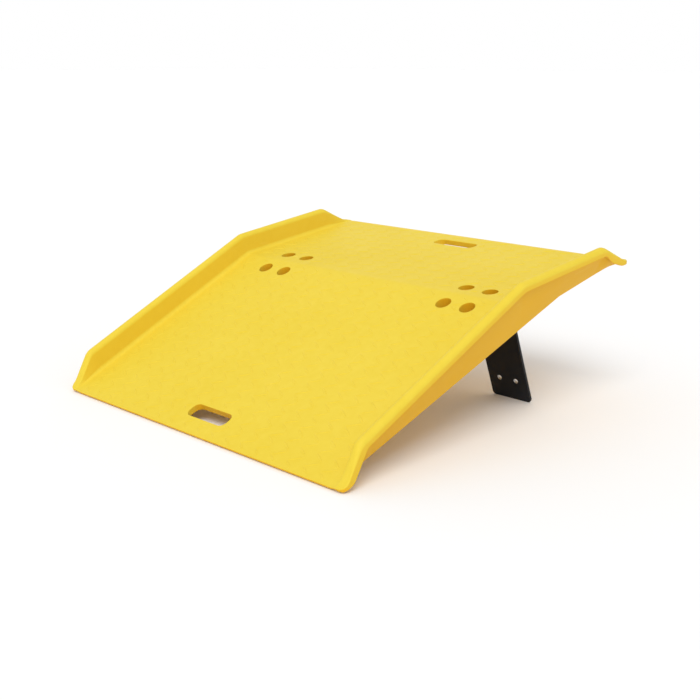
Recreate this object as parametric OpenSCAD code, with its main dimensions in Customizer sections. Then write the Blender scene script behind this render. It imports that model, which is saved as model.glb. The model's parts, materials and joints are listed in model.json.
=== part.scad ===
// Portable dock plate: a hollow moulded plastic ramp with two curbs, bent at its ridge, and two
// black steel legs bolted under it. All sizes are in millimetres.
//
// The working frame has its origin at the bottom of the front edge: X runs across the plate,
// Y runs along the flat front underside from the front edge towards the rear, Z is square to it.
// stand() then tips that frame so that the plate rests on its front edge and its two legs.

/* [Plate] */
// Width over the two curbs
plate_w = 889; // [740:1:1070]
// Length of the front deck along its slope, from the front edge to the ridge
front_len = 566; // [470:1:680]
// Length of the rear deck along its slope, from the ridge to the rear edge
rear_len = 359; // [300:1:431]
// Angle by which the rear deck turns down from the front deck
bend = 18.2; // [15:0.1:22]
// Thickness of the plate at the front edge
front_edge_t = 8; // [6:0.5:12]
// Thickness of the plate at the rear edge
rear_edge_t = 9; // [6:0.5:12]
// Depth of the body under the ridge, square to the flat front underside
ridge_depth = 61; // [50:1:75]
// Distance behind the ridge at which the underside bends
kink_back = 140; // [115:1:170]
// Wall of the hollow moulding
wall = 5; // [3:0.5:6]
// Width of the closed, solid band along the front and rear edges
edge_band = 88; // [80:1:100]

/* [Curbs] */
// Height of each curb above the deck
curb_h = 51; // [40:1:62]
// Thickness of each curb
curb_t = 22; // [18:1:28]
// Radius between the deck and the inside of each curb
curb_foot_r = 10; // [5:1:15]
// Height above the deck of the lower edge of each curb's outer lip
lip_h = 30; // [22:1:36]
// Distance by which the side wall is set in under the lip
lip_step = 4; // [2:0.5:6]
// Distance of the underside's edge from the outside of the plate
side_inset = 39; // [30:1:48]
// Length of the flat tongue in front of and behind each curb
tongue = 16; // [12:1:24]
// How much thinner the tongues are than the plate's edges, taken off below
tongue_step = 1; // [0.5:0.5:2]
// Length over which each curb drops at its front end, the tongue left out
front_drop = 58; // [45:1:66]
// Length over which each curb drops at its rear end, the tongue left out
rear_drop = 70; // [55:1:84]
// Radius of the four plan corners of the plate
corner_r = 15; // [4:1:20]
// Radius of the moulding's vent hole in the middle of the underside
vent_r = 3; // [2:0.5:5]

/* [Hand slots] */
// Length of each hand slot, across the plate
slot_l = 120; // [100:1:140]
// Width of each hand slot
slot_w = 36; // [30:1:43]
// Radius of the hand slots' corners
slot_r = 14; // [8:1:14.5]
// Distance from the plate's edge to the middle of its hand slot
slot_in = 60; // [50:1:65]

/* [Bolting] */
// Distance between the middles of the two legs
leg_spread = 566; // [470:1:680]
// Distance between the bolts of a leg, across the plate
bolt_dx = 64; // [54:1:72]
// Distance between the bolts of a leg, along the plate
bolt_dy = 76; // [70:1:91]
// Distance from the ridge back to the middle of the bolt pattern
bolts_back = 1; // [0:0.5:5]
// Radius of the round bolt sockets in the deck
socket_r = 17; // [16:0.5:20]
// Thickness of each socket's floor
socket_floor = 10; // [8:0.5:12]
// Radius of a bolt's shank
bolt_r = 5; // [4:0.5:6]
// Clearance round a bolt in its holes
bolt_gap = 0.5; // [0.3:0.1:1]
// Clearance between a bolt and its nut or washers
thread_gap = 0.1; // [0.05:0.05:0.3]
// Size across the flats of the bolt heads and nuts
hex_af = 17; // [13:1:19]
// Height of a bolt head
head_h = 6.4; // [5:0.1:8]
// Height of a lock nut's hexagon
nut_h = 8; // [6:0.5:10]
// Height of the round collar on a lock nut
collar_h = 2.4; // [1:0.1:4]
// Length of bolt that stands out of its nut
bolt_out = 2.5; // [1:0.5:5]
// Thickness of the washers
washer_t = 2; // [1:0.5:3]
// Clearance round the wide washer in each socket
socket_gap = 2; // [1:0.5:4]
// Outer radius of the washers under the nuts
nut_washer_r = 10.5; // [10:0.5:12]

/* [Legs] */
// Width of each leg
leg_w = 104; // [98:1:125]
// Length of each leg below the plate's underside
leg_len = 241; // [200:1:290]
// Thickness of the leg's steel plate
leg_t = 6; // [4:0.5:8]
// Inner radius of the leg's bend
leg_bend_r = 6; // [4:0.5:8]
// Distance from the ridge back to the front face of each leg
leg_back = 66.5; // [66:0.5:80]
// Length of each leg's flange, from the leg's rear face
flange_l = 130; // [122:1:150]
// Radius of the legs' corners
leg_corner_r = 8; // [3:1:14]
// Radius of the two holes near the foot of each leg
dock_hole_r = 5.5; // [4:0.5:7]
// Distance between the two holes near the foot of each leg
dock_hole_dx = 44.5; // [36:0.5:54]
// Height of those holes above the leg's foot
dock_hole_up = 51; // [42:1:62]

/* [Hidden] */
$fn = 64;

yellow = "#f2d545";
black = "#202124";
zinc = "#b9bcc0";

// A point far enough off the plate for cuts to run clear of it
clear = 60;
// A hair's breadth by which joined solids run into each other
bite = 0.5;

// Half of the plate and the sides' places across it
half_w = plate_w / 2;
curb_r = curb_t / 2;
curb_in = half_w - curb_t;
side_top = half_w - lip_step;
side_low = half_w - side_inset;

// The washers in the sockets fill them up to their clearance
socket_washer_r = socket_r - socket_gap;

// Angles of the two decks to the flat front underside, and their directions and normals
front_angle = asin((ridge_depth - front_edge_t) / front_len);
rear_angle = bend - front_angle;
front_dir = [cos(front_angle), sin(front_angle)];
front_up = [-sin(front_angle), cos(front_angle)];
rear_dir = [cos(rear_angle), -sin(rear_angle)];
rear_up = [sin(rear_angle), cos(rear_angle)];

// Where lines p + t*u and q + s*v meet
function cross2(a, b) = a[0] * b[1] - a[1] * b[0];
function meet(p, u, q, v) = p + u * cross2(q - p, v) / cross2(u, v);

// Side profile of the plate: edges, ridge and the bend of the underside
front_top = front_edge_t * front_up;
ridge = front_top + front_len * front_dir;
rear_top = ridge + rear_len * rear_dir;
rear_foot = rear_top - rear_edge_t * rear_up;
kink = [ridge[0] + kink_back, 0];
under_dir = (rear_foot - kink) / norm(rear_foot - kink);
under_up = [-under_dir[1], under_dir[0]];

// Points at a place along a deck from its edge, at a height above it
function on_front(from_edge, h) = front_top + from_edge * front_dir + h * front_up;
function on_rear(from_edge, h) = rear_top - from_edge * rear_dir + h * rear_up;
// The ridge line raised by h, where both decks raised by h meet
function over_ridge(h) = meet(on_front(0, h), front_dir, on_rear(0, h), rear_dir);

// Bolt rows and legs, in the working frame
bolt_y = ridge[0] + bolts_back;
leg_y = ridge[0] + leg_back;

// How far the plate tips when it stands on its front edge and its legs
tilt = atan(leg_len / leg_y);
function tipped_y(p) = p[0] * cos(tilt) - p[1] * sin(tilt);
low_y = min(0, tipped_y(front_top));
high_y = max(tipped_y(rear_top), tipped_y(rear_foot));

// Tips the working frame onto the ground, with the origin under the middle of the plate
module stand() {
    translate([0, -(low_y + high_y) / 2, 0])
        rotate([tilt, 0, 0])
            children();
}

// Extrudes a side profile, drawn in Y and Z, across the plate
module across(width, x = 0) {
    translate([x - width / 2, 0, 0])
        rotate([90, 0, 90])
            linear_extrude(width)
                children();
}

// Extrudes a cross-section, drawn in X and height above the deck, inwards from an edge
module run(length) {
    rotate([90, 0, 180])
        linear_extrude(length)
            children();
}

function arc(c, r, a0, a1, steps = 10) =
    [for (i = [0:steps]) c + r * [cos(a0 + (a1 - a0) * i / steps), sin(a0 + (a1 - a0) * i / steps)]];

// Lean of the side walls, and a side wall's place across the plate at a height above the deck,
// moved inwards by w
lean = atan((side_top - side_low) / (lip_h + ridge_depth));
function side_x(h, w = 0) = side_top - (lip_h - h) * tan(lean) - w / cos(lean);
section_low = -(ridge_depth + clear);

// Cross-section of the whole plate: deck, curb with its rolled lip, and leaning side wall
module section() {
    right = concat(arc([curb_in - curb_foot_r, curb_foot_r], curb_foot_r, -90, 0),
                   arc([half_w - curb_r, curb_h - curb_r], curb_r, 180, 0),
                   [[half_w, lip_h],
                    [side_top, lip_h],
                    [side_x(section_low), section_low]]);
    left = [for (i = [len(right) - 1:-1:0]) [-right[i][0], right[i][1]]];
    polygon(concat(left, right));
}

// Cross-section of the hollow under the deck, with the same lean as the side walls
module hollow_section() {
    brim = side_x(-wall, wall);
    foot = side_x(section_low, wall);
    polygon([[-brim, -wall], [brim, -wall], [foot, section_low], [-foot, section_low]]);
}

// Half-plane on one side of the plane that halves the bend, in Y and Z
module before_ridge() {
    top = over_ridge(curb_h + clear);
    low = over_ridge(-ridge_depth - 2 * clear);
    polygon([top, low, [-clear, low[1]], [-clear, top[1]]]);
}

module after_ridge() {
    top = over_ridge(curb_h + clear);
    low = over_ridge(-ridge_depth - 2 * clear);
    far = rear_top[0] + clear;
    polygon([low, top, [far, top[1]], [far, low[1]]]);
}

// A place on a deck: X across, Y inwards from the edge, Z square to the deck
module at_front_edge() {
    translate([0, front_top[0], front_top[1]])
        rotate([front_angle, 0, 0])
            children();
}

module at_rear_edge() {
    translate([0, rear_top[0], rear_top[1]])
        rotate([-rear_angle, 0, 0])
            mirror([0, 1, 0])
                children();
}

// Both lengths of a bent cross-section, mitred at the ridge
module bent() {
    intersection() {
        at_front_edge()
            run(front_len + 3 * clear)
                children();
        across(plate_w + clear)
            before_ridge();
    }
    intersection() {
        at_rear_edge()
            run(rear_len + 3 * clear)
                children();
        across(plate_w + clear)
            after_ridge();
    }
}

// What is cut away over an edge, so that the curbs start behind the tongue and rise to their height
module end_cut(drop) {
    across(plate_w + clear)
        polygon([[-clear, 0],
                 [tongue, 0],
                 [tongue + drop, curb_h],
                 [tongue + drop + clear, curb_h + clear],
                 [-clear, curb_h + clear]]);
}

// Side profile that trims the section to its two flat undersides
module outer_profile() {
    far = rear_foot + clear * under_dir;
    polygon([[-clear, 0],
             [-clear, ridge[1] + 2 * clear],
             [far[0], ridge[1] + 2 * clear],
             far,
             kink]);
}

// Side profile of the hollow inside, a wall's thickness in from each face
module inner_profile() {
    low_front = on_front(edge_band, -wall);
    low_rear = on_rear(edge_band, -wall);
    under = rear_foot + wall * under_up;
    polygon([[low_front[0], wall],
             low_front,
             over_ridge(-wall),
             low_rear,
             meet(low_rear, rear_up, under, under_dir),
             meet(under, under_dir, [0, wall], [1, 0])]);
}

// Full-width flat tongue along one edge, drawn in X and distance from the edge
module tongue_outline() {
    corner = min(corner_r, tongue);
    translate([corner - half_w, 0])
        square([plate_w - 2 * corner, tongue + bite]);
    translate([-half_w, corner])
        square([plate_w, tongue + bite - corner]);
    for (side = [-1, 1])
        translate([side * (half_w - corner), corner])
            circle(corner);
}

module tongue_plate(t) {
    translate([0, 0, -t])
        linear_extrude(t)
            tongue_outline();
}

// Hand slot cutter, square to its deck
module slot_cutter() {
    translate([0, slot_in, -clear])
        linear_extrude(2 * clear)
            union() {
                square([slot_l - 2 * slot_r, slot_w], center = true);
                square([slot_l, slot_w - 2 * slot_r], center = true);
                for (x = [-1, 1], y = [-1, 1])
                    translate([x * (slot_l / 2 - slot_r), y * (slot_w / 2 - slot_r)])
                        circle(slot_r);
            }
}

// Places a child at each of a leg's four bolts, on the flat front underside
module at_bolts(side) {
    for (x = [-1, 1], y = [-1, 1])
        translate([side * leg_spread / 2 + x * bolt_dx / 2, bolt_y + y * bolt_dy / 2, 0])
            children();
}

// Round post that closes a socket off from the hollow inside
module socket_posts(side) {
    intersection() {
        at_bolts(side)
            cylinder(r = socket_r + wall, h = ridge_depth + clear);
        across(leg_spread + 2 * leg_w)
            polygon([[0, 0], front_top, ridge, rear_top, rear_foot, kink]);
    }
}

// The bent section trimmed to its undersides, with its curbs sloping down to the tongues
module body() {
    difference() {
        intersection() {
            bent()
                section();
            across(plate_w + clear)
                outer_profile();
        }
        at_front_edge()
            end_cut(front_drop);
        at_rear_edge()
            end_cut(rear_drop);
    }
}

// The closed space between the two skins
module hollow() {
    intersection() {
        bent()
            hollow_section();
        across(plate_w + clear)
            inner_profile();
    }
}

module deck_shell() {
    color(yellow)
        stand()
            difference() {
                union() {
                    difference() {
                        body();
                        hollow();
                    }
                    at_front_edge()
                        tongue_plate(front_edge_t - tongue_step);
                    at_rear_edge()
                        tongue_plate(rear_edge_t - tongue_step);
                    socket_posts(-1);
                    socket_posts(1);
                }
                for (side = [-1, 1])
                    at_bolts(side) {
                        translate([0, 0, socket_floor])
                            cylinder(r = socket_r, h = ridge_depth + clear);
                        translate([0, 0, -clear])
                            cylinder(r = bolt_r + bolt_gap, h = 2 * clear);
                    }
                at_front_edge()
                    slot_cutter();
                at_rear_edge()
                    slot_cutter();
                translate([0, bolt_y, -bite])
                    cylinder(r = vent_r, h = 2 * wall);
            }
}

// Bent side profile of a leg: flange under the plate, rounded bend, leg hanging square to it
module leg_profile() {
    bend_c = [leg_y - leg_bend_r, -leg_t - leg_bend_r];
    outer_r = leg_bend_r + leg_t;
    translate([leg_y + leg_t - flange_l, -leg_t])
        square([flange_l - outer_r, leg_t]);
    translate([leg_y, -leg_len])
        square([leg_t, leg_len - outer_r]);
    translate(bend_c)
        intersection() {
            difference() {
                circle(outer_r);
                circle(leg_bend_r);
            }
            square(outer_r);
        }
}

// What is cut off a square corner to round it, with the corner at the origin
module corner_chip(r, depth) {
    translate([0, 0, -depth / 2])
        linear_extrude(depth)
            difference() {
                translate([-bite, -bite])
                    square(r + bite);
                translate([r, r])
                    circle(r);
            }
}

module leg(side) {
    x = side * leg_spread / 2;
    difference() {
        across(leg_w, x)
            leg_profile();
        for (end = [-1, 1]) {
            translate([x + end * leg_w / 2, leg_y, -leg_len])
                rotate([90, 0, 0])
                    mirror([end > 0 ? 1 : 0, 0, 0])
                        corner_chip(leg_corner_r, 4 * leg_t);
            translate([x + end * leg_w / 2, leg_y + leg_t - flange_l, 0])
                mirror([end > 0 ? 1 : 0, 0, 0])
                    corner_chip(leg_corner_r, 4 * leg_t);
            translate([x + end * dock_hole_dx / 2, leg_y + leg_t / 2, dock_hole_up - leg_len])
                rotate([90, 0, 0])
                    cylinder(r = dock_hole_r, h = 4 * leg_t, center = true);
        }
        at_bolts(side)
            cylinder(r = bolt_r + bolt_gap, h = 4 * leg_t, center = true);
    }
}

module left_leg() {
    color(black)
        stand()
            leg(-1);
}

module right_leg() {
    color(black)
        stand()
            leg(1);
}

// Hexagon across the flats, drawn round the origin
module hexagon(af) {
    circle(r = af / 2 / cos(30), $fn = 6);
}

// Hex bolt from its head in the socket down through floor and flange to its nut
module bolts(side) {
    under_nut = leg_t + washer_t + nut_h + collar_h + bolt_out;
    at_bolts(side) {
        translate([0, 0, socket_floor + washer_t])
            linear_extrude(head_h)
                hexagon(hex_af);
        translate([0, 0, -under_nut])
            cylinder(r = bolt_r, h = under_nut + socket_floor + washer_t + bite);
    }
}

module washers(side, outer_r, z) {
    at_bolts(side)
        translate([0, 0, z])
            difference() {
                cylinder(r = outer_r, h = washer_t);
                translate([0, 0, -bite])
                    cylinder(r = bolt_r + thread_gap, h = washer_t + 2 * bite);
            }
}

// Lock nut: a hexagon with a round collar on its lower side
module lock_nuts(side) {
    collar_r = hex_af / 2 - 1;
    at_bolts(side)
        translate([0, 0, -leg_t - washer_t - nut_h])
            difference() {
                union() {
                    linear_extrude(nut_h)
                        hexagon(hex_af);
                    translate([0, 0, -collar_h])
                        cylinder(r = collar_r, h = collar_h + bite);
                }
                translate([0, 0, -collar_h - bite])
                    cylinder(r = bolt_r + thread_gap, h = nut_h + collar_h + 2 * bite);
            }
}

module left_bolts() {
    color(zinc)
        stand()
            bolts(-1);
}

module right_bolts() {
    color(zinc)
        stand()
            bolts(1);
}

module left_socket_washers() {
    color(zinc)
        stand()
            washers(-1, socket_washer_r, socket_floor);
}

module right_socket_washers() {
    color(zinc)
        stand()
            washers(1, socket_washer_r, socket_floor);
}

module left_nut_washers() {
    color(zinc)
        stand()
            washers(-1, nut_washer_r, -leg_t - washer_t);
}

module right_nut_washers() {
    color(zinc)
        stand()
            washers(1, nut_washer_r, -leg_t - washer_t);
}

module left_lock_nuts() {
    color(zinc)
        stand()
            lock_nuts(-1);
}

module right_lock_nuts() {
    color(zinc)
        stand()
            lock_nuts(1);
}

deck_shell();
left_leg();
right_leg();
left_bolts();
right_bolts();
left_socket_washers();
right_socket_washers();
left_nut_washers();
right_nut_washers();
left_lock_nuts();
right_lock_nuts();
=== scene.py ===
import json
import math

import bmesh
import bpy
from mathutils import Matrix, Vector


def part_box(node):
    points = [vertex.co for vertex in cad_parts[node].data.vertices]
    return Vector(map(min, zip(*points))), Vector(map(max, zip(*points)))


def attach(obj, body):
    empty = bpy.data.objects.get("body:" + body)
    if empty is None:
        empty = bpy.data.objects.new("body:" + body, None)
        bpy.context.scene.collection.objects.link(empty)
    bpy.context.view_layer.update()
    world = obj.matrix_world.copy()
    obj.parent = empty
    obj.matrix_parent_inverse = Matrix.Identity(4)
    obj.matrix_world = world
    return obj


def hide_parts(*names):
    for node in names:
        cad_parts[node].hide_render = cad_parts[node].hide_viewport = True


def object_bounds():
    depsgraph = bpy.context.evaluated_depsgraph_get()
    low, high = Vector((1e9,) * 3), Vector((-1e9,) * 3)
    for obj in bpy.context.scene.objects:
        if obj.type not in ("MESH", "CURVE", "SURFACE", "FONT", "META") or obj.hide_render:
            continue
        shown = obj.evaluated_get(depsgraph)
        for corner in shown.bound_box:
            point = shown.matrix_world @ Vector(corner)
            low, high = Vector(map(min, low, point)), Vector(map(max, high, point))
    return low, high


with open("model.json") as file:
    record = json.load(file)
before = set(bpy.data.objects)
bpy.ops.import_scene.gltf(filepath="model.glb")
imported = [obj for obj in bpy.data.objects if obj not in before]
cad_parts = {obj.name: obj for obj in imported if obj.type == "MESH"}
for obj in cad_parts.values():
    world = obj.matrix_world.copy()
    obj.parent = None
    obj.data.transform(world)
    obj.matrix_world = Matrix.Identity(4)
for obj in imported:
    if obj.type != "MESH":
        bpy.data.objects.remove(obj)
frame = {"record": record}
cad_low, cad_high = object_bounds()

scene = bpy.context.scene

# ---- Camera ----
# Seen from beyond the right front corner, a little above the plate, as for a catalogue picture.
camera_place = Vector((1.77052, -1.71656, 0.73137))
camera_azimuth = math.radians(45.584)
camera_elevation = math.radians(14.327)
camera_roll = math.radians(0.203)

camera_data = bpy.data.cameras.new("camera")
camera_data.sensor_width = 36.0
camera_data.lens = 58.76
camera = bpy.data.objects.new("camera", camera_data)
scene.collection.objects.link(camera)
scene.camera = camera
look_back = Vector((math.sin(camera_azimuth) * math.cos(camera_elevation),
                    -math.cos(camera_azimuth) * math.cos(camera_elevation),
                    math.sin(camera_elevation)))
look_right = Vector((math.cos(camera_azimuth), math.sin(camera_azimuth), 0.0))
look_up = look_back.cross(look_right)
turned_right = look_right * math.cos(camera_roll) + look_up * math.sin(camera_roll)
turned_up = look_up * math.cos(camera_roll) - look_right * math.sin(camera_roll)
camera.matrix_world = (Matrix.Translation(camera_place)
                       @ Matrix((turned_right, turned_up, look_back)).transposed().to_4x4())

# ---- Floor and studio light ----
# A plain pale floor that runs far out, a pale sky that is white behind the plate as a backdrop is,
# and one very soft main light from high over the right front corner, so that the lips catch it
# and the side walls that lean in below them stay darker.
floor_half = 60.0
floor_colour = (0.93, 0.93, 0.93, 1.0)
sky_strength = 0.70
backdrop_strength = 1.0
sun_strength = 1.6
sun_softness = math.radians(35)
sun_from = Vector((0.42, -0.60, 0.80))

scene.view_settings.view_transform = "Standard"
world = bpy.data.worlds.new("studio")
scene.world = world
world.use_nodes = True
world.node_tree.nodes["Background"].inputs["Color"].default_value = (1.0, 1.0, 1.0, 1.0)
sky = world.node_tree.nodes
sky_way = sky.new("ShaderNodeTexCoord").outputs["Generated"]
to_backdrop = sky.new("ShaderNodeVectorMath")
to_backdrop.operation = "DOT_PRODUCT"
to_backdrop.inputs[1].default_value = (-look_back.x, -look_back.y, 0.0)
backdrop = sky.new("ShaderNodeMapRange")
backdrop.interpolation_type = "SMOOTHSTEP"
backdrop.inputs["From Min"].default_value = 0.55
backdrop.inputs["From Max"].default_value = 0.88
backdrop.inputs["To Min"].default_value = sky_strength
backdrop.inputs["To Max"].default_value = backdrop_strength
world.node_tree.links.new(sky_way, to_backdrop.inputs[0])
world.node_tree.links.new(to_backdrop.outputs["Value"], backdrop.inputs["Value"])
world.node_tree.links.new(backdrop.outputs["Result"], sky["Background"].inputs["Strength"])

floor_mesh = bpy.data.meshes.new("floor")
floor_mesh.from_pydata([(-floor_half, -floor_half, cad_low.z), (floor_half, -floor_half, cad_low.z),
                        (floor_half, floor_half, cad_low.z), (-floor_half, floor_half, cad_low.z)],
                       [], [(0, 1, 2, 3)])
floor = bpy.data.objects.new("floor", floor_mesh)
scene.collection.objects.link(floor)
floor_paint = bpy.data.materials.new("floor_paint")
floor_paint.use_nodes = True
floor_paint.node_tree.nodes["Principled BSDF"].inputs["Base Color"].default_value = floor_colour
floor_paint.node_tree.nodes["Principled BSDF"].inputs["Roughness"].default_value = 0.9
floor_paint.node_tree.nodes["Principled BSDF"].inputs["Specular IOR Level"].default_value = 0.1
floor_mesh.materials.append(floor_paint)

sun = bpy.data.lights.new("main_light", "SUN")
sun.energy = sun_strength
sun.angle = sun_softness
sun_object = bpy.data.objects.new("main_light", sun)
scene.collection.objects.link(sun_object)
sun_object.matrix_world = sun_from.to_track_quat("Z", "Y").to_matrix().to_4x4()

# ---- Moulded plate ----
# One hollow polyethylene moulding, coloured right through: two decks bent at a ridge, a rounded
# curb with a rolled lip along each side, round sockets for the bolts and two hand slots. Sizes are
# in metres, as designed but for lips 1 mm higher and side walls 3 mm further out at the bottom.
plate_w = 0.889
front_len = 0.566
rear_len = 0.359
bend = math.radians(18.2)
front_edge_t = 0.008
rear_edge_t = 0.009
ridge_depth = 0.061
kink_back = 0.140
ridge_soft = 0.006
nose_share = 0.25
nose_keep = 0.2
nose_front = 0.0045
nose_rear = 0.014
corner_r = 0.015
curb_h = 0.051
curb_t = 0.022
curb_foot_r = 0.010
curb_draft = math.radians(4)
edge_r = 0.0025
lip_h = 0.031
lip_r = 0.0015
lip_t = 0.007
lip_groove = 0.004
side_inset = 0.036
low_edge_r = 0.003
curb_stretch = 0.006
slot_l = 0.120
slot_w = 0.036
slot_r = 0.014
slot_in = 0.060
rim_r = 0.0012
leg_spread = 0.566
bolt_dx = 0.064
bolt_dy = 0.076
bolts_back = 0.001
socket_r = 0.017
socket_floor = 0.010
bolt_hole_r = 0.0055
vent_r = 0.003

half_w = plate_w / 2
crest_r = curb_t / 2
low_x = half_w - side_inset
flat_x = low_x - curb_stretch
crest_x = half_w - crest_r
foot_x = (crest_x - (crest_r + curb_foot_r) * math.cos(curb_draft)
          - (curb_h - crest_r - curb_foot_r) * math.tan(curb_draft))


def heading(angle):
    return Vector((math.cos(angle), math.sin(angle)))


front_angle = math.asin((ridge_depth - front_edge_t) / front_len)
rear_angle = bend - front_angle
front_dir = heading(front_angle)
front_up = heading(front_angle + math.pi / 2)
rear_dir = heading(-rear_angle)
rear_up = heading(math.pi / 2 - rear_angle)
front_top = front_up * front_edge_t
ridge = front_top + front_dir * front_len
rear_top = ridge + rear_dir * rear_len
rear_foot = rear_top - rear_up * rear_edge_t
kink = Vector((ridge.x + kink_back, 0.0))
bolts_y = ridge.x + bolts_back


def on_front(from_edge, h):
    return front_top + front_dir * from_edge + front_up * h


def on_rear(from_edge, h):
    return rear_top - rear_dir * from_edge + rear_up * h


def over_ridge(h):
    return ridge + heading(math.pi / 2 + front_angle - bend / 2) * (h / math.cos(bend / 2))


def underside(travel):
    slope = rear_foot.y / (rear_foot.x - kink.x)
    return Vector((travel, max(0.0, travel - kink.x) * slope))


# The design lies flat on its front underside. It is tipped by the angle of the leg holes' axis,
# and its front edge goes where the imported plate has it.
mounts = {mount["name"]: mount for mount in frame["record"]["mounts"]}
hole_axis = mounts["left_leg_inner_hole"]["axis"]
tilt = math.atan2(-hole_axis[2], -hole_axis[1])
front_reach = front_top.x * math.cos(tilt) - front_top.y * math.sin(tilt)
stand = (Matrix.Translation((0.0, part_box("deck_shell")[0].y - front_reach, 0.0))
         @ Matrix.Rotation(tilt, 4, "X"))


def soft_bends(start, points, softness):
    """A height along a side, as straight stretches through points with softened bends."""
    slopes = [(b[1] - a[1]) / (b[0] - a[0]) for a, b in zip(points, points[1:])] + [0.0]

    def height(s):
        total = start
        before = 0.0
        for (place, _), slope in zip(points, slopes):
            x = s - place
            ramp = x if x > softness else max(0.0, x + softness) ** 2 / (4 * softness)
            total += (slope - before) * ramp
            before = slope
        return total
    return height


# Each curb's crest and lip fall to a flat tongue at the plate's edge, as (from edge, height) points
past_edge = -0.02
tongue_crest = 0.0005
tongue_lip = -0.0065
crest_soft = 0.009
curb_front = soft_bends(tongue_crest, [(past_edge, tongue_crest), (0.0, tongue_crest),
                                       (0.020, 0.0065), (0.074, curb_h)], crest_soft)
curb_rear = soft_bends(tongue_crest, [(past_edge, tongue_crest), (0.0, tongue_crest),
                                      (0.020, 0.0055), (0.087, curb_h)], crest_soft)
lip_front = soft_bends(tongue_lip, [(past_edge, tongue_lip), (0.028, tongue_lip),
                                    (0.083, lip_h)], 0.007)
lip_rear = soft_bends(tongue_lip, [(past_edge, tongue_lip), (0.026, tongue_lip),
                                   (0.0626, 0.0095), (0.085, lip_h)], 0.006)


def arc(centre, radius, start, end, steps=6):
    turn = [start + (end - start) * i / steps for i in range(steps + 1)]
    return [(centre[0] + radius * math.cos(a), centre[1] + radius * math.sin(a)) for a in turn]


def soft_corner(a, corner, b, steps=3):
    """Points of a rounded corner between a and b."""
    return [a * (1 - t) ** 2 + corner * 2 * t * (1 - t) + b * t * t
            for t in (i / steps for i in range(steps + 1))]


def half_section(at, low, curb, lip, edge_x):
    """Half a cross-section, from the middle of the deck over the curb to the middle below. at(h) is
    the side-view point h above the deck, and low is the one below it on the underside."""
    rise = curb / curb_h
    top_r = max(crest_r * rise, edge_r)

    def place(x, h):
        squeezed = flat_x + (x - flat_x) * (edge_x - flat_x) / (half_w - flat_x)
        return Vector((squeezed if x > flat_x else x, *at(h)))

    upper = [(x, 0.0) for x in deck_columns]
    upper += [(x, h * rise) for x, h in
              arc((foot_x, curb_foot_r), curb_foot_r, -math.pi / 2, -curb_draft)
              + arc((crest_x, curb_h - crest_r), crest_r, math.pi - curb_draft, math.pi / 2)]
    upper += arc((half_w - top_r, curb - top_r), top_r, math.pi / 2, 0.0)
    upper += [(half_w, lip + lip_r), (half_w - 0.3 * lip_r, lip + 0.3 * lip_r),
              (half_w - lip_r, lip), (half_w - lip_t + 0.8 * lip_r, lip),
              (half_w - lip_t, lip + 0.8 * lip_r)]
    points = [place(x, h) for x, h in upper]
    root = place(half_w - lip_t, lip + lip_groove + lip_r)
    low_edge = Vector((place(low_x, 0.0).x, *low))
    down = low_edge - root
    points += soft_corner(place(half_w - lip_t, lip + lip_groove), root,
                          root + down.normalized() * lip_r, 4)
    points += [root + down * 0.35, root + down * 0.7]
    points += soft_corner(low_edge - down.normalized() * low_edge_r, low_edge,
                          low_edge - Vector((low_edge_r, 0.0, 0.0)), 4)
    points += [Vector((x, *low)) for x in reversed(deck_columns)]
    return points


deck_columns = [half_w * share for share in (0.0, 0.2, 0.4, 0.6, 0.8, 0.88)]


def pinched(points, edge, up, thickness, reach, from_edge):
    """Rounds a plate's edge, little above and more below, by drawing its points to one line."""
    waist = -nose_share * thickness
    moved = []
    for p in points:
        h = (Vector((p.y, p.z)) - edge).dot(up)
        radius = -waist if h > waist else reach
        near = max(0.0, 1 - from_edge / radius)
        shift = up * ((waist - h) * (1 - nose_keep) * (1 - math.sqrt(1 - near * near)))
        moved.append(p + Vector((0.0, *shift)))
    return moved


def plan_edge(from_edge):
    if from_edge >= corner_r:
        return half_w
    return half_w - corner_r + math.sqrt(corner_r ** 2 - (corner_r - from_edge) ** 2)


edge_rows = 16
rise_start = 0.016
rise_step = 0.0025
rise_rows = 34
plain_start = 0.105
plain_step = 0.03
least_step = 0.00012


def stations(length):
    """Places along a deck, close together over its rounded edge and where the curbs rise."""
    places = [corner_r * (1 - math.cos(math.pi / 2 * i / edge_rows)) for i in range(edge_rows + 1)]
    places += [rise_start + rise_step * i for i in range(rise_rows)]
    spread = math.ceil((length - 0.13) / plain_step)
    places += [plain_start + (length - ridge_soft - plain_start) * i / spread
               for i in range(spread + 1)]
    kept = []
    for place in sorted(places):
        if not kept or place - kept[-1] > least_step:
            kept.append(place)
    return kept


half_sections = []
for s in stations(front_len):
    low_point = underside(on_front(s, 0.0).x - front_top.x * (1 - s / front_len))
    half = half_section(lambda h: on_front(s, h), low_point, curb_front(s), lip_front(s),
                        plan_edge(s))
    half_sections.append(pinched(half, front_top, front_up, front_edge_t, nose_front, s))
for t in (0.15, 0.32, 0.5, 0.68, 0.85):
    def bent_over(h):
        crest = over_ridge(h)
        bend_points = soft_corner(crest - front_dir * ridge_soft, crest,
                                  crest + rear_dir * ridge_soft, 1000)
        return bend_points[round(t * 1000)]
    low_point = underside(ridge.x + (2 * t - 1) * ridge_soft)
    half_sections.append(half_section(bent_over, low_point, curb_h, lip_h, half_w))
rear_shift = rear_foot.x - rear_top.x
kink_station = (rear_top.x + rear_shift - kink.x) / (rear_dir.x + rear_shift / rear_len)
for s in sorted(stations(rear_len) + [kink_station], reverse=True):
    low_point = underside(on_rear(s, 0.0).x + rear_shift * (1 - s / rear_len))
    half = half_section(lambda h: on_rear(s, h), low_point, curb_rear(s), lip_rear(s),
                        plan_edge(s))
    half_sections.append(pinched(half, rear_top, rear_up, rear_edge_t, nose_rear, s))


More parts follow.
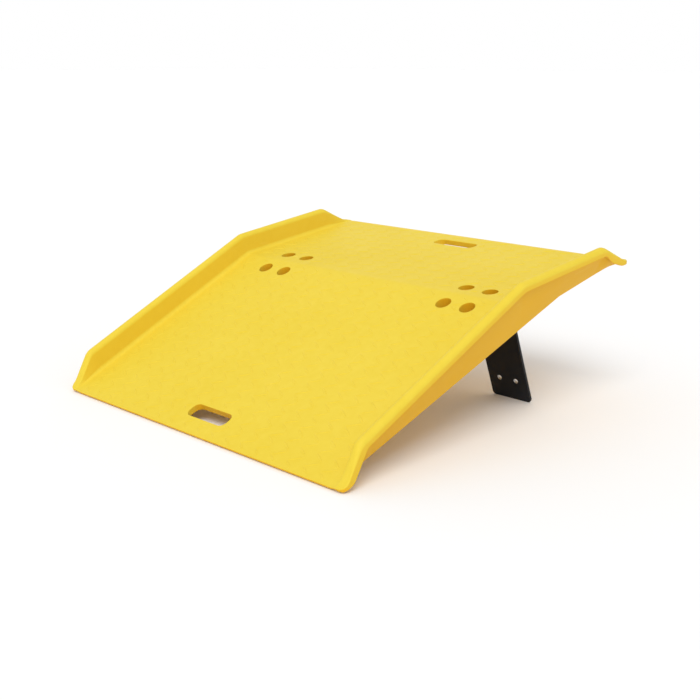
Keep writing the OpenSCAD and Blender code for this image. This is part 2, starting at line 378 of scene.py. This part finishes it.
def skin(rings, close_ends=True):
    """A closed mesh through rings of the same number of points."""
    bm = bmesh.new()
    loops = [[bm.verts.new(p) for p in ring] for ring in rings]
    count = len(loops[0])
    for a, b in zip(loops, loops[1:]):
        for i in range(count):
            j = (i + 1) % count
            bm.faces.new((a[i], a[j], b[j], b[i]))
    if close_ends:
        bm.faces.new(list(reversed(loops[0])))
        bm.faces.new(loops[-1])
    bmesh.ops.remove_doubles(bm, verts=bm.verts, dist=2e-6)
    bmesh.ops.dissolve_degenerate(bm, edges=bm.edges, dist=1e-6)
    bmesh.ops.recalc_face_normals(bm, faces=bm.faces)
    return bm


def whole_ring(half):
    mirrored = [Vector((-p.x, p.y, p.z)) for p in reversed(half[1:-1])]
    return half + mirrored


def finished(name, bm, materials, transform=stand, sharp=35):
    """Turns a bmesh, built in the design's flat frame, into a shaded object on the ground."""
    mesh = bpy.data.meshes.new(name)
    bm.to_mesh(mesh)
    bm.free()
    mesh.transform(transform)
    for material in materials:
        mesh.materials.append(material)
    mesh.polygons.foreach_set("use_smooth", [True] * len(mesh.polygons))
    mesh.set_sharp_from_angle(angle=math.radians(sharp))
    piece = bpy.data.objects.new(name, mesh)
    scene.collection.objects.link(piece)
    return piece


def applied(piece, name, kind, **settings):
    """Applies one modifier to a piece's mesh."""
    modifier = piece.modifiers.new(name, kind)
    for setting, value in settings.items():
        setattr(modifier, setting, value)
    bpy.context.view_layer.update()
    seen = piece.evaluated_get(bpy.context.evaluated_depsgraph_get())
    mesh = bpy.data.meshes.new_from_object(seen)
    old = piece.data
    piece.modifiers.clear()
    piece.data = mesh
    mesh.name = old.name
    bpy.data.meshes.remove(old)


def cut(piece, cutters):
    """Cuts a list of closed bmeshes out of a piece, in the design's frame."""
    joined = bmesh.new()
    for cutter in cutters:
        part = bpy.data.meshes.new("part")
        cutter.to_mesh(part)
        cutter.free()
        joined.from_mesh(part)
        bpy.data.meshes.remove(part)
    tool = finished("tool", joined, piece.data.materials)
    applied(piece, "cut", "BOOLEAN", operation="DIFFERENCE", solver="EXACT", object=tool)
    bpy.data.meshes.remove(tool.data)


def rounded_box(half_l, half_wide, radius, steps=6):
    corners = [(half_l - radius, half_wide - radius, 0), (radius - half_l, half_wide - radius, 1),
               (radius - half_l, radius - half_wide, 2), (half_l - radius, radius - half_wide, 3)]
    return [point for x, y, turn in corners
            for point in arc((x, y), radius, turn * math.pi / 2, (turn + 1) * math.pi / 2, steps)]


rim_steps = [math.radians(78) * i / 5 for i in range(6)]
rim_rise = [(rim_r * math.sin(a), rim_r * (1 - math.cos(a))) for a in rim_steps]
overshoot = 0.004


def hand_slot(on_deck, edge_t, deck_angle):
    """A cutter through a deck whose rims are rounded above and below."""
    def ring(grow, above=None, below=None):
        outline = rounded_box(slot_l / 2 + grow, slot_w / 2 + grow, slot_r + grow)
        points = []
        for x, s in outline:
            depth = edge_t + (slot_in + s) * math.tan(deck_angle)
            h = above if below is None else below - depth
            points.append(Vector((x, *on_deck(slot_in + s, h))))
        return points

    widest = rim_rise[-1][1]
    rings = [ring(widest, above=overshoot)]
    rings += [ring(grow, above=rise - rim_r) for rise, grow in reversed(rim_rise)]
    rings += [ring(grow, below=rim_r - rise) for rise, grow in rim_rise]
    rings += [ring(widest, below=-overshoot)]
    return skin(rings)


def deck_height(travel):
    """Height of the deck over a place in the design's frame."""
    if travel < ridge.x:
        return front_top.y + (travel - front_top.x) * math.tan(front_angle)
    return ridge.y - (travel - ridge.x) * math.tan(rear_angle)


def bolt_places(side):
    return [(side * leg_spread / 2 + x * bolt_dx / 2, bolts_y + y * bolt_dy / 2)
            for x in (-1, 1) for y in (-1, 1)]


def round_ring(centre, radius, height, sides=48):
    turns = [2 * math.pi * i / sides for i in range(sides)]
    return [Vector((centre[0] + radius * math.cos(a), centre[1] + radius * math.sin(a), height))
            for a in turns]


def socket(centre):
    """A cutter for a bolt socket: a rounded rim in the deck, a flat floor with a small root."""
    def deck_ring(grow, above):
        ring = round_ring(centre, socket_r + grow, 0.0)
        return [Vector((p.x, p.y, deck_height(p.y) + above)) for p in ring]

    root = 0.002
    rings = [deck_ring(rim_rise[-1][1], overshoot)]
    rings += [deck_ring(grow, rise - rim_r) for rise, grow in reversed(rim_rise)]
    rings += [round_ring(centre, radius, height) for radius, height in
              ((socket_r, socket_floor + root), (socket_r - 0.3 * root, socket_floor + 0.3 * root),
               (socket_r - root, socket_floor))]
    return skin(rings)


def straight_hole(centre, radius, low, high, sides=32):
    return skin([round_ring(centre, radius, high, sides), round_ring(centre, radius, low, sides)])


def socket_group(name, fills):
    """A new shader node group with named inputs and outputs, and short ways to fill it."""
    tree = bpy.data.node_groups.new(name, "ShaderNodeTree")
    for label, kind, way, default in fills:
        socket_made = tree.interface.new_socket(label, in_out=way, socket_type=kind)
        if default is not None:
            socket_made.default_value = default
    return tree, tree.nodes.new("NodeGroupInput"), tree.nodes.new("NodeGroupOutput")


def node(tree, kind, links=None, **settings):
    """Adds a node, sets its properties, and fills its inputs from values or other sockets."""
    made = tree.nodes.new(kind)
    for setting, value in settings.items():
        setattr(made, setting, value)
    for key, value in (links or {}).items():
        if isinstance(value, bpy.types.NodeSocket):
            tree.links.new(value, made.inputs[key])
        else:
            made.inputs[key].default_value = value
    return made


# Mottle: slow and quick drifts of tone, as one value round 0.5
mottle, given, told = socket_group("mottle", [("Slow", "NodeSocketFloat", "INPUT", 3.0),
                                              ("Quick", "NodeSocketFloat", "INPUT", 40.0),
                                              ("Value", "NodeSocketFloat", "OUTPUT", None)])
coords = node(mottle, "ShaderNodeTexCoord").outputs["Object"]
slow = node(mottle, "ShaderNodeTexNoise", {"Vector": coords, "Scale": given.outputs["Slow"],
                                           "Detail": 2.0}).outputs["Fac"]
quick = node(mottle, "ShaderNodeTexNoise", {"Vector": coords, "Scale": given.outputs["Quick"],
                                            "Detail": 4.0}).outputs["Fac"]
both = node(mottle, "ShaderNodeMath", {0: slow, 1: quick}, operation="ADD").outputs[0]
halved = node(mottle, "ShaderNodeMath", {0: both, 1: 0.5}, operation="MULTIPLY").outputs[0]
mottle.links.new(halved, told.inputs["Value"])

# Grain: a fine pebbled skin, as a height
grain, given, told = socket_group("grain", [("Size", "NodeSocketFloat", "INPUT", 700.0),
                                            ("Height", "NodeSocketFloat", "OUTPUT", None)])
coords = node(grain, "ShaderNodeTexCoord").outputs["Object"]
pebbles = node(grain, "ShaderNodeTexVoronoi", {"Vector": coords, "Scale": given.outputs["Size"]},
               feature="SMOOTH_F1").outputs["Distance"]
dust = node(grain, "ShaderNodeTexNoise", {"Vector": coords, "Scale": given.outputs["Size"],
                                          "Detail": 3.0}).outputs["Fac"]
summed = node(grain, "ShaderNodeMath", {0: pebbles, 1: dust}, operation="ADD").outputs[0]
grain.links.new(summed, told.inputs["Height"])

# Scuffs: thin streaks along the travel, thickest where the noise bands are strong, as a mask
scuffs, given, told = socket_group("scuffs", [("Amount", "NodeSocketFloat", "INPUT", 0.5),
                                              ("Mask", "NodeSocketFloat", "OUTPUT", None)])
coords = node(scuffs, "ShaderNodeTexCoord").outputs["Object"]
drawn = node(scuffs, "ShaderNodeMapping", {"Vector": coords, "Rotation": (0.3, 0.0, 0.12),
                                           "Scale": (420.0, 16.0, 60.0)}).outputs["Vector"]
streaks = node(scuffs, "ShaderNodeTexNoise", {"Vector": drawn, "Scale": 1.0,
                                              "Detail": 2.0}).outputs["Fac"]
patches = node(scuffs, "ShaderNodeTexNoise", {"Vector": coords, "Scale": 9.0,
                                              "Detail": 2.0}).outputs["Fac"]
thin = node(scuffs, "ShaderNodeMapRange", {"Value": streaks, "From Min": 0.62,
                                           "From Max": 0.74}).outputs[0]
where = node(scuffs, "ShaderNodeMapRange", {"Value": patches, "From Min": 0.48,
                                            "From Max": 0.66}).outputs[0]
masked = node(scuffs, "ShaderNodeMath", {0: thin, 1: where}, operation="MULTIPLY").outputs[0]
scaled = node(scuffs, "ShaderNodeMath", {0: masked, 1: given.outputs["Amount"]},
              operation="MULTIPLY").outputs[0]
scuffs.links.new(scaled, told.inputs["Mask"])

# Recess shade: near 1 deep in a corner or under an overhang, near 0 on open faces, as a mask for
# painted shade
recess_shade, given, told = socket_group("recess_shade", [("Reach", "NodeSocketFloat", "INPUT", 0.01),
                                              ("Mask", "NodeSocketFloat", "OUTPUT", None)])
openness = node(recess_shade, "ShaderNodeAmbientOcclusion", {"Distance": given.outputs["Reach"]},
                samples=8, only_local=True).outputs["AO"]
closed = node(recess_shade, "ShaderNodeMapRange", {"Value": openness, "From Min": 0.15, "From Max": 0.65,
                                             "To Min": 1.0, "To Max": 0.0}).outputs[0]
recess_shade.links.new(closed, told.inputs["Mask"])

# Upward: from 0 on faces that look down to 1 on faces that look up, as a share for painted shade on
# faces that look sideways or down
upward, given, told = socket_group("upward", [("Value", "NodeSocketFloat", "OUTPUT", None)])
way = node(upward, "ShaderNodeNewGeometry").outputs["Normal"]
rise = node(upward, "ShaderNodeSeparateXYZ", {0: way}).outputs["Z"]
share = node(upward, "ShaderNodeMapRange", {"Value": rise, "From Min": -0.35, "From Max": 0.30},
             interpolation_type="SMOOTHSTEP").outputs[0]
upward.links.new(share, told.inputs["Value"])


def effect(tree, group, values, output):
    """Places one of the groups in a material with its own values."""
    made = node(tree, "ShaderNodeGroup", node_tree=group)
    for key, value in values.items():
        made.inputs[key].default_value = value
    return made.outputs[output]


def mixed(tree, share, a, b):
    """Two colours mixed by a share."""
    made = node(tree, "ShaderNodeMix", data_type="RGBA")
    for key, value in (("Factor", share), ("A", a), ("B", b)):
        target = next(i for i in made.inputs if i.name == key and i.enabled)
        if isinstance(value, bpy.types.NodeSocket):
            tree.links.new(value, target)
        else:
            target.default_value = value
    return next(o for o in made.outputs if o.enabled)


def ranged(tree, value, low, high):
    return node(tree, "ShaderNodeMapRange", {"Value": value, "From Min": 0.3, "From Max": 0.7,
                                             "To Min": low, "To Max": high}).outputs[0]


def bare_material(name):
    material = bpy.data.materials.new(name)
    material.use_nodes = True
    return material, material.node_tree, material.node_tree.nodes["Principled BSDF"]


yellow_deep = (0.755, 0.560, 0.040, 1.0)
yellow_clear = (0.785, 0.600, 0.054, 1.0)
# Painted shade: a darker, more orange yellow for faces that look sideways or down
yellow_shaded = (0.800, 0.440, 0.014, 1.0)
# Painted shade: a dark brown-orange for corners, creases and the groove under each lip
yellow_recess_shade = (0.560, 0.290, 0.012, 1.0)
yellow_rubbed = (0.840, 0.650, 0.100, 1.0)

polyethylene, tree, surface = bare_material("yellow_polyethylene")
drift = effect(tree, mottle, {"Slow": 4.0, "Quick": 55.0}, "Value")
rubbed = effect(tree, scuffs, {"Amount": 0.35}, "Mask")
tone = mixed(tree, ranged(tree, drift, 0.0, 1.0), yellow_deep, yellow_clear)
# Painted shade: faces that look sideways or down take the darker, more orange yellow
tone = mixed(tree, effect(tree, upward, {}, "Value"), yellow_shaded, tone)
tone = mixed(tree, rubbed, tone, yellow_rubbed)
# Painted shade: deep in corners, under the lips and at the socket roots the tone goes dark
# brown-orange
tone = mixed(tree, effect(tree, recess_shade, {"Reach": 0.012}, "Mask"), tone, yellow_recess_shade)
tree.links.new(tone, surface.inputs["Base Color"])
tree.links.new(ranged(tree, drift, 0.58, 0.48), surface.inputs["Roughness"])
surface.inputs["IOR"].default_value = 1.51
surface.inputs["Specular IOR Level"].default_value = 0.15
skin_bump = node(tree, "ShaderNodeBump", {"Height": effect(tree, grain, {"Size": 620.0}, "Height"),
                                          "Strength": 0.16, "Distance": 0.0006})
tree.links.new(skin_bump.outputs["Normal"], surface.inputs["Normal"])

plate = finished("moulded_plate", skin([whole_ring(half) for half in half_sections]),
                 [polyethylene])
cutters = [hand_slot(on_front, front_edge_t, front_angle),
           hand_slot(on_rear, rear_edge_t,
                     rear_angle + math.atan2(rear_foot.y, rear_foot.x - kink.x))]
for side in (-1, 1):
    for centre in bolt_places(side):
        cutters.append(socket(centre))
        cutters.append(straight_hole(centre, bolt_hole_r, -overshoot, socket_floor + overshoot))
cutters.append(straight_hole((0.0, bolts_y), vent_r, -overshoot, 2 * overshoot))
cut(plate, cutters)
plate.data.polygons.foreach_set("use_smooth", [True] * len(plate.data.polygons))
plate.data.set_sharp_from_angle(angle=math.radians(35))
applied(plate, "even", "WEIGHTED_NORMAL", keep_sharp=True, weight=100)
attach(plate, "root")
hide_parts("deck_shell")

# ---- Tread ----
# Raised lens-shaped lugs moulded into both decks, leaning left and right in turn as on diamond
# plate. They stop short of the curbs, the edges, the ridge, the sockets and the hand slots.
lug_across = 0.045
lug_along = 0.03875
lug_l = 0.0335
lug_w = 0.0056
lug_h = 0.0011
lug_lean = math.radians(30)
lug_sunk = 0.0005
lug_least = 0.7
lug_first_x = 0.0197
front_first_row = 0.011
rear_first_row = 0.0304
tread_half = foot_x - 0.003
tread_gap = 0.007


def free_of_holes(x, travel, from_edge):
    if abs(x) > tread_half or from_edge < tread_gap:
        return False
    slot_clear = (abs(x) > slot_l / 2 + tread_gap
                  or abs(from_edge - slot_in) > slot_w / 2 + tread_gap)
    near = [abs(complex(x - bx, travel - by)) for side in (-1, 1) for bx, by in bolt_places(side)]
    return slot_clear and min(near) > socket_r + tread_gap


def lug_span(x, s, lean, on_deck, length):
    """The longest stretch of a lug, from -1 to 1 along it, that stays on clear deck."""
    marks = [i / 10 for i in range(-10, 11)]
    best, run = (0.0, 0.0), []
    for mark in marks + [None]:
        inside = False
        if mark is not None:
            px = x + mark * lug_l / 2 * math.cos(lean)
            ps = s + mark * lug_l / 2 * math.sin(lean)
            inside = (ps < length - tread_gap
                      and free_of_holes(px, on_deck(ps, 0.0).x, ps))
        if inside:
            run.append(mark)
            continue
        if run and run[-1] - run[0] > best[1] - best[0]:
            best = (run[0], run[-1])
        run = []
    return best


def add_lug(bm, x, s, lean, on_deck, length):
    start, end = lug_span(x, s, lean, on_deck, length)
    if end - start < lug_least:
        return
    long_half = lug_l / 2 * (end - start) / 2
    middle = lug_l / 2 * (end + start) / 2
    grid = []
    for i in range(9):
        t = -math.cos(math.pi * i / 8)
        belly = max(0.06, 1 - t * t) ** 0.75
        row = []
        for j in range(5):
            v = (j - 2) / 2
            h = (lug_h + lug_sunk) * belly ** 0.5 * (1 - v * v) ** 0.7 - lug_sunk
            if i in (0, 8):
                h = -lug_sunk
            along = middle + t * long_half
            out = v * lug_w / 2 * belly
            px = x + along * math.cos(lean) - out * math.sin(lean)
            ps = s + along * math.sin(lean) + out * math.cos(lean)
            row.append(bm.verts.new(Vector((px, *on_deck(ps, h)))))
        grid.append(row)
    for a, b in zip(grid, grid[1:]):
        for j in range(4):
            bm.faces.new((a[j], a[j + 1], b[j + 1], b[j]))
    rim = ([row[0] for row in grid] + grid[-1][1:4] + [row[-1] for row in reversed(grid)]
           + list(reversed(grid[0][1:4])))
    bm.faces.new(rim)


tread_bm = bmesh.new()
for on_deck, length, first in ((on_front, front_len, front_first_row),
                               (on_rear, rear_len, rear_first_row)):
    columns = range(-math.ceil(half_w / lug_across) - 1, math.ceil(half_w / lug_across) + 1)
    for column in columns:
        for row in range(math.ceil(length / lug_along) + 1):
            x = lug_first_x + column * lug_across
            s = length - first - row * lug_along
            add_lug(tread_bm, x, s, -lug_lean, on_deck, length)
            add_lug(tread_bm, x, s - lug_along / 2, lug_lean, on_deck, length)
bmesh.ops.recalc_face_normals(tread_bm, faces=tread_bm.faces)
tread = finished("deck_tread", tread_bm, [polyethylene], sharp=60)
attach(tread, "root")

# ---- Legs ----
# Each leg is one strip of 6 mm steel plate, bent square, with rounded corners and broken edges,
# powder coated black. Its flange lies under the plate, and its foot has two holes for pins. It is
# 0.2 mm shorter than the design's, so that its broken edges stay above the floor.
leg_w = 0.104
leg_len = 0.2408
leg_t = 0.006
leg_bend_r = 0.006
leg_back = 0.0665
flange_l = 0.130
leg_corner_r = 0.008
dock_hole_r = 0.0055
dock_hole_dx = 0.0445
dock_hole_up = 0.0508
leg_y = ridge.x + leg_back


def leg_side_view():
    """Outline of the bent strip in (travel, height), the flange's top at height 0."""
    bend_at = (leg_y - leg_bend_r, -leg_t - leg_bend_r)
    flange_end = leg_y + leg_t - flange_l
    return ([(flange_end, 0.0)]
            + arc(bend_at, leg_bend_r + leg_t, math.pi / 2, 0.0, 12)
            + [(leg_y + leg_t, -leg_len), (leg_y, -leg_len)]
            + arc(bend_at, leg_bend_r, 0.0, math.pi / 2, 12)
            + [(flange_end, -leg_t)])


def corner_chip(corner, inwards_x, inwards, across):
    """A cutter that rounds one corner of the strip. inwards points along the strip, and across is
    square to its face."""
    r = leg_corner_r
    over = 0.003
    outline = [(-over, -over), (r, -over)]
    outline += [(r - r * math.sin(a), r - r * math.cos(a)) for a in
                (math.pi / 2 * i / 10 for i in range(11))]
    outline += [(-over, r)]
    rings = []
    for depth in (-3 * leg_t, 3 * leg_t):
        rings.append([corner + inwards_x * u + inwards * v + across * depth for u, v in outline])
    return skin(rings)


powder_black = (0.0036, 0.0046, 0.0074, 1.0)
powder_grey = (0.0070, 0.0082, 0.0122, 1.0)
powder_dust = (0.050, 0.047, 0.042, 1.0)

powder_coat, tree, surface = bare_material("black_powder_coat")
drift = effect(tree, mottle, {"Slow": 9.0, "Quick": 130.0}, "Value")
height = node(tree, "ShaderNodeSeparateXYZ",
              {0: node(tree, "ShaderNodeTexCoord").outputs["Object"]}).outputs["Z"]
near_floor = node(tree, "ShaderNodeMapRange", {"Value": height, "From Min": 0.0, "From Max": 0.035,
                                               "To Min": 0.15, "To Max": 0.0}).outputs[0]
dusty = node(tree, "ShaderNodeMath", {0: near_floor, 1: drift}, operation="MULTIPLY").outputs[0]
tone = mixed(tree, ranged(tree, drift, 0.0, 1.0), powder_black, powder_grey)
tree.links.new(mixed(tree, dusty, tone, powder_dust), surface.inputs["Base Color"])
tree.links.new(ranged(tree, drift, 0.34, 0.46), surface.inputs["Roughness"])
surface.inputs["Specular IOR Level"].default_value = 0.20
peel = node(tree, "ShaderNodeBump", {"Height": effect(tree, grain, {"Size": 380.0}, "Height"),
                                     "Strength": 0.22, "Distance": 0.0005})
tree.links.new(peel.outputs["Normal"], surface.inputs["Normal"])

steel_bright = (0.560, 0.550, 0.530, 1.0)
steel_dull = (0.380, 0.370, 0.350, 1.0)

rubbed_steel, tree, surface = bare_material("rubbed_steel")
drift = effect(tree, mottle, {"Slow": 80.0, "Quick": 700.0}, "Value")
tree.links.new(mixed(tree, ranged(tree, drift, 0.0, 1.0), steel_dull, steel_bright),
               surface.inputs["Base Color"])
surface.inputs["Metallic"].default_value = 0.8
tree.links.new(ranged(tree, drift, 0.40, 0.60), surface.inputs["Roughness"])


def build_leg(name, side):
    middle = side * leg_spread / 2
    rings = [[Vector((middle + x * leg_w / 2, y, z)) for y, z in leg_side_view()] for x in (-1, 1)]
    leg = finished(name, skin(rings), [powder_coat, rubbed_steel])
    cutters = []
    for end in (-1, 1):
        inwards_x = Vector((-end, 0.0, 0.0))
        x = middle + end * leg_w / 2
        cutters.append(corner_chip(Vector((x, leg_y + leg_t / 2, -leg_len)), inwards_x,
                                   Vector((0.0, 0.0, 1.0)), Vector((0.0, 1.0, 0.0))))
        cutters.append(corner_chip(Vector((x, leg_y + leg_t - flange_l, -leg_t / 2)), inwards_x,
                                   Vector((0.0, 1.0, 0.0)), Vector((0.0, 0.0, 1.0))))
        hole = straight_hole((middle + end * dock_hole_dx / 2, 0.0), dock_hole_r,
                             -3 * leg_t, 3 * leg_t, 40)
        upright = Matrix.Translation((0.0, leg_y + leg_t / 2, dock_hole_up - leg_len))
        bmesh.ops.transform(hole, matrix=upright @ Matrix.Rotation(math.pi / 2, 4, "X"),
                            verts=hole.verts)
        cutters.append(hole)
    for centre in bolt_places(side):
        cutters.append(straight_hole(centre, bolt_hole_r, -3 * leg_t, 3 * leg_t))
    cut(leg, cutters)
    applied(leg, "broken_edges", "BEVEL", width=0.0007, segments=2, limit_method="ANGLE",
            angle_limit=math.radians(35))
    for face in leg.data.polygons:
        centre = stand.inverted() @ face.center
        off_axis = min(math.hypot(centre.x - middle - end * dock_hole_dx / 2,
                                  centre.z + leg_len - dock_hole_up) for end in (-1, 1))
        face.material_index = 1 if off_axis < dock_hole_r + 0.0002 else 0
    leg.data.polygons.foreach_set("use_smooth", [True] * len(leg.data.polygons))
    leg.data.set_sharp_from_angle(angle=math.radians(50))
    applied(leg, "even", "WEIGHTED_NORMAL", keep_sharp=True, weight=100)
    return leg


for side_name, side in (("left", -1), ("right", 1)):
    leg = build_leg(side_name + "_bent_leg", side)
    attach(leg, "root")
    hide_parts(side_name + "_leg")

# ---- Bolts ----
# Four M10 hex bolts to a leg, zinc plated: the head sits in its socket on a wide washer, and the
# shank runs down through the plate and the flange and stands a little out of its nut.
washer_t = 0.002
hex_af = 0.017
head_h = 0.0064
bolt_r = 0.005
nut_h = 0.008
collar_h = 0.0024
bolt_out = 0.0025
thread_pitch = 0.0015
thread_depth = 0.0008
flat_share = 0.94
under_nut = -leg_t - washer_t - nut_h - collar_h

zinc_bright = (0.62, 0.63, 0.63, 1.0)
zinc_dull = (0.47, 0.48, 0.47, 1.0)

zinc, tree, surface = bare_material("zinc_plate")
drift = effect(tree, mottle, {"Slow": 60.0, "Quick": 500.0}, "Value")
tree.links.new(mixed(tree, ranged(tree, drift, 0.0, 1.0), zinc_dull, zinc_bright),
               surface.inputs["Base Color"])
surface.inputs["Metallic"].default_value = 1.0
tree.links.new(ranged(tree, drift, 0.26, 0.44), surface.inputs["Roughness"])
brushed = node(tree, "ShaderNodeBump", {"Height": effect(tree, grain, {"Size": 2600.0}, "Height"),
                                        "Strength": 0.10, "Distance": 0.0002})
tree.links.new(brushed.outputs["Normal"], surface.inputs["Normal"])


def hex_ring(radius_share, height, sides=48, dip=0.0, flat_r=0.0):
    """A hexagonal ring. With dip, it falls with its distance past flat_r, as a chamfer does."""
    ring = []
    for i in range(sides):
        turn = 2 * math.pi * i / sides
        out = hex_af / 2 / math.cos((turn % (math.pi / 3)) - math.pi / 6) * radius_share
        fall = max(0.0, out - flat_r) * dip
        ring.append(Vector((out * math.cos(turn), out * math.sin(turn), height - fall)))
    return ring


def thread_ring(height, sides=48):
    ring = []
    for i in range(sides):
        turn = i / sides
        phase = (height / thread_pitch - turn) % 1.0
        out = bolt_r - thread_depth * (1 - abs(2 * phase - 1))
        ring.append(Vector((out * math.cos(2 * math.pi * turn), out * math.sin(2 * math.pi * turn),
                            height)))
    return ring


def bolt_shape():
    """One bolt standing on the design's underside plane, its head up."""
    tip = under_nut - bolt_out
    head_low = socket_floor + washer_t
    flat_r = flat_share * hex_af / 2
    rings = [round_ring((0, 0), bolt_r - 0.0016, tip),
             round_ring((0, 0), bolt_r - 0.0009, tip + 0.0006)]
    step = thread_pitch / 4
    rings += [thread_ring(tip + 0.0008 + step * i) for i in range(12)]
    rings += [round_ring((0, 0), bolt_r, tip + 0.0012 + step * 12),
              round_ring((0, 0), bolt_r, head_low),
              round_ring((0, 0), flat_r, head_low),
              hex_ring(1.0, head_low + 0.0006),
              hex_ring(1.0, head_low + head_h, dip=0.55, flat_r=flat_r),
              round_ring((0, 0), flat_r, head_low + head_h),
              round_ring((0, 0), flat_r - 0.0006, head_low + head_h)]
    return skin(rings)


def four_of(name, shape, side, materials, sharp=30):
    """Copies one shape to a leg's four bolts."""
    one = bpy.data.meshes.new("one")
    bm = shape()
    bm.to_mesh(one)
    bm.free()
    joined = bmesh.new()
    for index, (x, y) in enumerate(bolt_places(side)):
        start = len(joined.verts)
        joined.from_mesh(one)
        joined.verts.ensure_lookup_table()
        turn = Matrix.Rotation(math.radians(17 + 41 * index), 4, "Z")
        bmesh.ops.transform(joined, matrix=Matrix.Translation((x, y, 0.0)) @ turn,
                            verts=joined.verts[start:])
    bpy.data.meshes.remove(one)
    return finished(name, joined, materials, sharp=sharp)


for side_name, side in (("left", -1), ("right", 1)):
    bolts = four_of(side_name + "_hex_bolts", bolt_shape, side, [zinc])
    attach(bolts, "root")
    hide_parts(side_name + "_bolts")

# ---- Washers ----
# Stamped zinc-plated rings with one rounded and one burred edge: a wide one under each bolt head
# and a small one under each nut.
socket_washer_r = 0.015
nut_washer_r = 0.0105
washer_hole_r = 0.0051


def washer_shape(outer_r, low):
    """A stamped ring as a closed band of rings, its upper outer edge rolled."""
    high = low + washer_t
    soft = 0.0004
    loop = [(washer_hole_r, low + soft), (washer_hole_r, high - soft), (washer_hole_r + soft, high),
            (outer_r - 2 * soft, high), (outer_r - 0.6 * soft, high - 0.6 * soft),
            (outer_r, high - 2 * soft), (outer_r, low + 0.3 * soft), (outer_r - 0.3 * soft, low),
            (washer_hole_r + soft, low)]
    rings = [round_ring((0, 0), radius, height) for radius, height in loop + loop[:1]]
    return skin(rings, close_ends=False)


for side_name, side in (("left", -1), ("right", 1)):
    for kind, outer_r, low in (("socket", socket_washer_r, socket_floor),
                               ("nut", nut_washer_r, -leg_t - washer_t)):
        washers = four_of(side_name + "_" + kind + "_rings", lambda: washer_shape(outer_r, low),
                          side, [zinc])
        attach(washers, "root")
        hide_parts(side_name + "_" + kind + "_washers")

# ---- Lock nuts ----
# Zinc-plated hexagon nuts with a crimped round collar that holds a pale nylon ring, screwed up
# under the flange.
nylon_blue = (0.45, 0.60, 0.78, 1.0)
nylon_pale = (0.62, 0.74, 0.86, 1.0)

nylon, tree, surface = bare_material("nylon_ring")
drift = effect(tree, mottle, {"Slow": 90.0, "Quick": 600.0}, "Value")
tree.links.new(mixed(tree, ranged(tree, drift, 0.0, 1.0), nylon_blue, nylon_pale),
               surface.inputs["Base Color"])
surface.inputs["Roughness"].default_value = 0.45


def nut_shape():
    """A nut below the flange's washer, its collar and nylon ring downwards."""
    high = -leg_t - washer_t
    low = high - nut_h
    bore_r = bolt_r + 0.0001
    collar_r = hex_af / 2 - 0.001
    flat_r = flat_share * hex_af / 2
    rings = [round_ring((0, 0), bore_r, high),
             round_ring((0, 0), flat_r, high),
             hex_ring(1.0, high, dip=0.5, flat_r=flat_r),
             hex_ring(1.0, low + 0.0008),
             round_ring((0, 0), collar_r + 0.0003, low),
             round_ring((0, 0), collar_r, low - 0.5 * collar_h),
             round_ring((0, 0), collar_r - 0.0006, low - 0.9 * collar_h),
             round_ring((0, 0), collar_r - 0.0014, low - collar_h),
             round_ring((0, 0), collar_r - 0.0018, low - 0.8 * collar_h),
             round_ring((0, 0), bore_r + 0.0002, low - 0.8 * collar_h),
             round_ring((0, 0), bore_r, low - 0.7 * collar_h),
             round_ring((0, 0), bore_r, high)]
    bm = skin(rings, close_ends=False)
    for face in bm.faces:
        middle = face.calc_center_median()
        off_axis = Vector((middle.x, middle.y)).length
        if middle.z < low - 0.7 * collar_h and off_axis < collar_r - 0.0018:
            face.material_index = 1
    return bm


for side_name, side in (("left", -1), ("right", 1)):
    nuts = four_of(side_name + "_nylon_lock_nuts", nut_shape, side, [zinc, nylon])
    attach(nuts, "root")
    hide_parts(side_name + "_lock_nuts")
